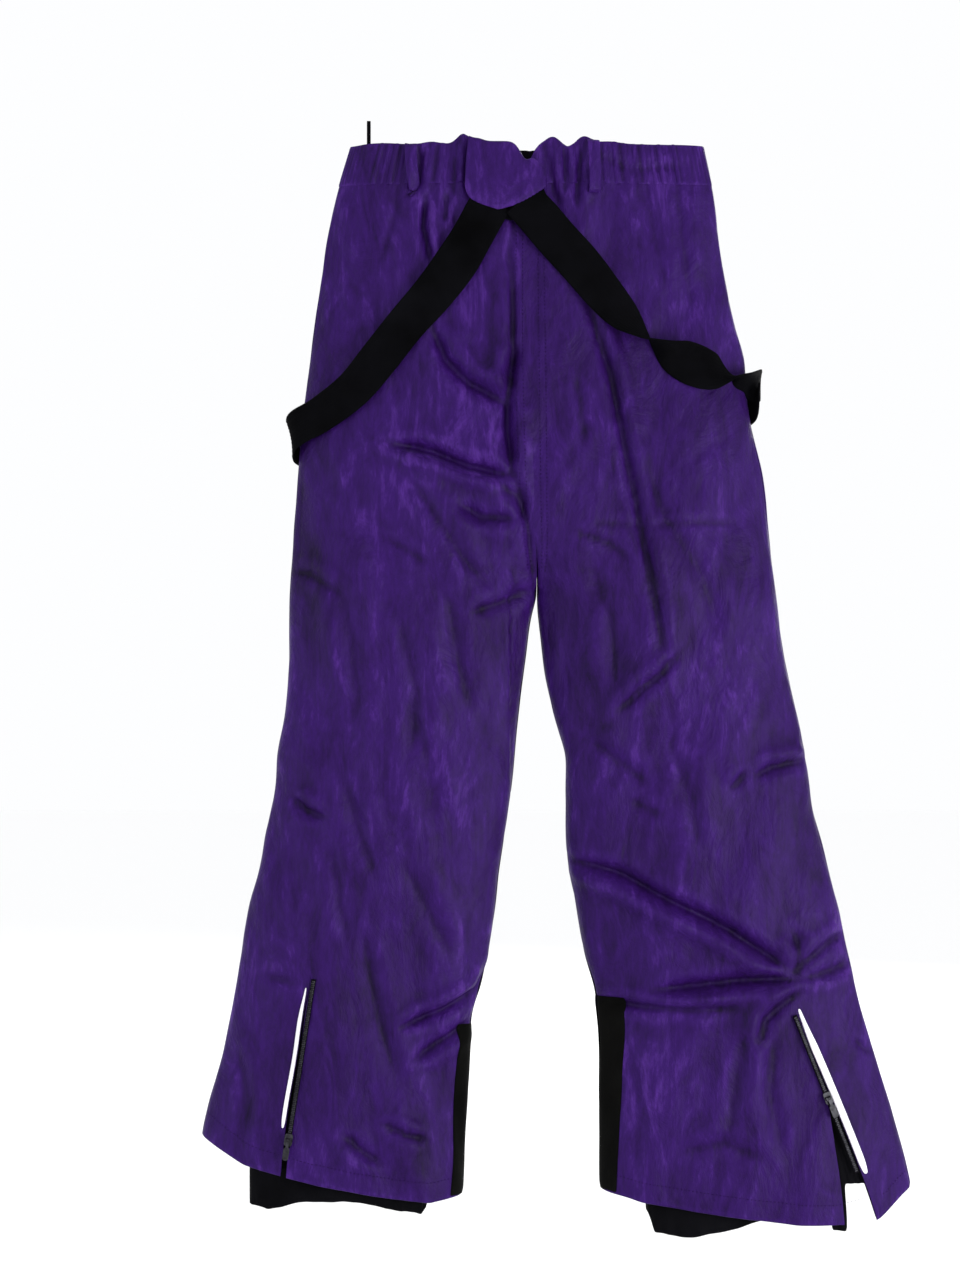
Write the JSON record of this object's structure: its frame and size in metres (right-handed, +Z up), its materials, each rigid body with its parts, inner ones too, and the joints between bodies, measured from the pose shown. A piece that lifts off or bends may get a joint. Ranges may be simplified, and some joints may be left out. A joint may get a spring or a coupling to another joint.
{
  "type": "ski pants",
  "caption": "Insulated ski pants with elastic braces over the back, zipped ankle vents with reflective piping, scuff guards and inner snow gaiters, hung by the waistband.",
  "frame": {"origin": "middle of the waistband's top edge, on the line a clip hanger holds", "axes": "+Z up along the hanging legs, +X towards the wearer's right, +Y towards the wearer's front"},
  "size_m": [0.7014, 0.1186, 1.112],
  "materials": {
    "shell_fabric": "satin-sheened woven nylon, purple",
    "lining_fabric": "plain woven lining, near black",
    "wadding": "loose fibre fill",
    "reflective_piping": "smooth white reflective tape",
    "inner_nylon": "matt black nylon",
    "scuff_fabric": "heavy matt black nylon",
    "webbing": "ribbed black elastic webbing",
    "zip_tape": "black tape with a coil",
    "dark_metal": "dark nickel",
    "black_plastic": "moulded"
  },
  "bodies": {
    "garment": {"left_back_panel": "shell_fabric", "left_front_panel": "shell_fabric", "left_wadding": "wadding", "left_lining": "lining_fabric", "right_back_panel": "shell_fabric", "right_front_panel": "shell_fabric", "right_wadding": "wadding", "right_lining": "lining_fabric", "waistband_back": "shell_fabric", "waistband_front": "shell_fabric", "waist_elastic": "webbing", "belt_loops": "shell_fabric", "hang_loops": "webbing", "strap_patch": "webbing", "back_tab": "shell_fabric", "left_strap": "webbing", "left_strap_loop": "webbing", "left_strap_ring": "dark_metal", "right_strap": "webbing", "right_strap_loop": "webbing", "right_strap_ring": "dark_metal", "fly_zip_chain": "zip_tape", "snap_studs": "dark_metal", "left_pocket_zip_chain": "zip_tape", "left_pocket_bag": "lining_fabric", "right_pocket_zip_chain": "zip_tape", "right_pocket_bag": "lining_fabric", "left_piping": "reflective_piping", "left_vent_gusset": "inner_nylon", "right_piping": "reflective_piping", "right_vent_gusset": "inner_nylon", "left_ankle_zip_chain": "zip_tape", "right_ankle_zip_chain": "zip_tape", "left_scuff_guard": "scuff_fabric", "right_scuff_guard": "scuff_fabric", "left_gaiter": "inner_nylon", "left_gaiter_elastic": "webbing", "left_lace_hook": "dark_metal", "right_gaiter": "inner_nylon", "right_gaiter_elastic": "webbing", "right_lace_hook": "dark_metal"},
    "fly_slider": {"fly_zip_slider": "dark_metal"},
    "fly_pull": {"fly_zip_pull": "dark_metal"},
    "left_pocket_slider": {"left_pocket_zip_slider": "dark_metal"},
    "left_pocket_pull": {"left_pocket_zip_pull": "dark_metal"},
    "right_pocket_slider": {"right_pocket_zip_slider": "dark_metal"},
    "right_pocket_pull": {"right_pocket_zip_pull": "dark_metal"},
    "left_ankle_slider": {"left_ankle_zip_slider": "dark_metal"},
    "left_ankle_pull": {"left_ankle_zip_pull": "dark_metal"},
    "right_ankle_slider": {"right_ankle_zip_slider": "dark_metal"},
    "right_ankle_pull": {"right_ankle_zip_pull": "dark_metal"},
    "left_adjuster": {"left_strap_adjuster": "black_plastic"},
    "right_adjuster": {"right_strap_adjuster": "black_plastic"},
    "tab": {"waist_tab": "shell_fabric", "snap_caps": "dark_metal"}
  },
  "joints": [
    {"name": "fly_zip", "type": "slide", "parent": "garment", "child": "fly_slider", "axis": [0, 0.0586, -0.9983], "range_m": [0, 0.136]},
    {"name": "fly_pull_swing", "type": "hinge", "parent": "fly_slider", "child": "fly_pull", "pos_m": [0, 0.03542, -0.05165], "axis": [1, 0, 0], "range_deg": [0, 150]},
    {"name": "left_pocket_zip", "type": "slide", "parent": "garment", "child": "left_pocket_slider", "axis": [-0.2239, 0.028, -0.9742], "range_m": [0, 0.1306]},
    {"name": "left_pocket_pull_swing", "type": "hinge", "parent": "left_pocket_slider", "child": "left_pocket_pull", "pos_m": [-0.13866, 0.0279, -0.06147], "axis": [0.9615, 0.1696, -0.2161], "range_deg": [0, 150]},
    {"name": "right_pocket_zip", "type": "slide", "parent": "garment", "child": "right_pocket_slider", "axis": [0.2241, 0.0259, -0.9742], "range_m": [0, 0.1306]},
    {"name": "right_pocket_pull_swing", "type": "hinge", "parent": "right_pocket_slider", "child": "right_pocket_pull", "pos_m": [0.13879, 0.02726, -0.06146], "axis": [0.9587, -0.1857, 0.2155], "range_deg": [0, 150]},
    {"name": "left_ankle_zip", "type": "slide", "parent": "garment", "child": "left_ankle_slider", "axis": [0.1529, 0.0088, 0.9882], "range_m": [0, 0.154]},
    {"name": "left_ankle_pull_swing", "type": "hinge", "parent": "left_ankle_slider", "child": "left_ankle_pull", "pos_m": [-0.23922, -0.04453, -0.98596], "axis": [-0.9818, 0.1156, 0.1509], "range_deg": [0, 150]},
    {"name": "right_ankle_zip", "type": "slide", "parent": "garment", "child": "right_ankle_slider", "axis": [0.3701, 0.0274, -0.9286], "range_m": [-0.082, 0.072]},
    {"name": "right_ankle_pull_swing", "type": "hinge", "parent": "right_ankle_slider", "child": "right_ankle_pull", "pos_m": [0.29444, -0.03916, -0.94548], "axis": [-0.9125, -0.1767, -0.3689], "range_deg": [0, 150]},
    {"name": "left_strap_length", "type": "slide", "parent": "garment", "child": "left_adjuster", "axis": [0, 0, 1], "range_m": [-0.03, 0.022]},
    {"name": "right_strap_length", "type": "slide", "parent": "garment", "child": "right_adjuster", "axis": [0, 0, 1], "range_m": [-0.03, 0.022]},
    {"name": "waist_tab_open", "type": "hinge", "parent": "garment", "child": "tab", "pos_m": [0.034, 0.0311, -0.021], "axis": [0, 0, -1], "range_deg": [0, 100]}
  ]
}
